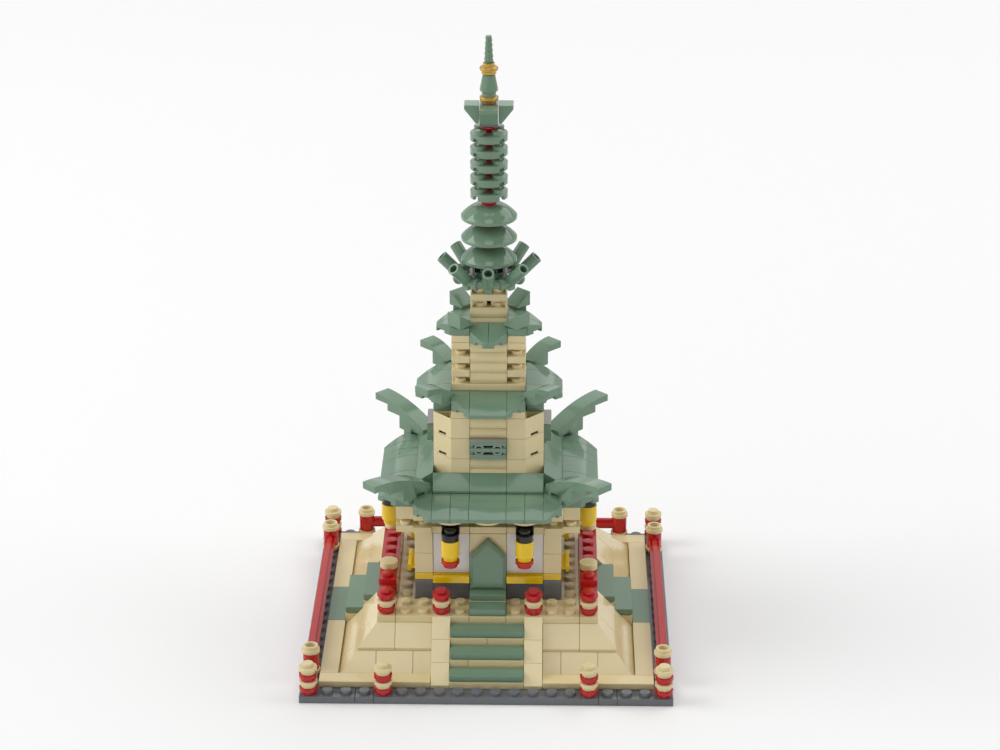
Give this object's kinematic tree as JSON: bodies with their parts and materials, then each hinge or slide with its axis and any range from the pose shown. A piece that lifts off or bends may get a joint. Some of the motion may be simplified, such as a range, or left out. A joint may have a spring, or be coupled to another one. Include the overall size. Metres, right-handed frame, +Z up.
{
  "type": "brick-built toy pagoda model",
  "caption": "Brick-built toy pagoda on a square fenced base: stepped terrace with stairs, three green-roofed storeys with upturned fins, and a ringed spire.",
  "frame": {"origin": "centre of the base plate's underside", "axes": "+Z up along the spire; -Y out of the front stair and door; +X to the right as seen from the front"},
  "size_m": [0.16, 0.16, 0.2723],
  "materials": {
    "dark_grey": "satin moulded plastic",
    "tan": "satin moulded plastic",
    "green": "satin moulded plastic",
    "red": "satin moulded plastic",
    "yellow": "satin moulded plastic",
    "gold": "pearl moulded plastic"
  },
  "bodies": {
    "root": {"base_plate": "dark_grey", "foundation_course": "dark_grey", "terrace_lower_course": "tan", "terrace_upper_course": "tan", "platform_plate": "tan", "front_cheek_left": "tan", "front_cheek_right": "tan", "wall_front": "tan", "wall_back": "tan", "wall_left": "tan", "wall_right": "tan", "eave_beam": "tan", "storey_2": "tan", "storey_3": "tan", "top_tower": "tan", "front_stair": "green", "back_stair": "green", "left_stair": "green", "right_stair": "green", "door_panel": "green", "door_steps": "green", "roof_1": "green", "roof_1_fin_front_left": "green", "roof_1_fin_front_right": "green", "roof_1_fin_back_left": "green", "roof_1_fin_back_right": "green", "roof_2": "green", "roof_3": "green", "crown_ring": "green", "dish_stack": "green", "ring_stack": "green", "flared_cap": "green", "fence_back": "red", "fence_left": "red", "fence_right": "red", "post_front_left": "red", "post_front_right": "red", "post_stair_left": "red", "post_stair_right": "red", "post_back_left": "red", "post_back_right": "red", "platform_post_left": "red", "platform_post_inner_left": "red", "platform_post_inner_right": "red", "platform_post_right": "red", "handrail_left": "red", "handrail_right": "red", "ledge_band": "yellow", "lantern_front_left": "yellow", "lantern_front_right": "yellow", "lantern_side_front_left": "yellow", "lantern_side_front_right": "yellow", "lantern_side_back_left": "yellow", "lantern_side_back_right": "yellow", "spire": "gold"}
  },
  "joints": []
}
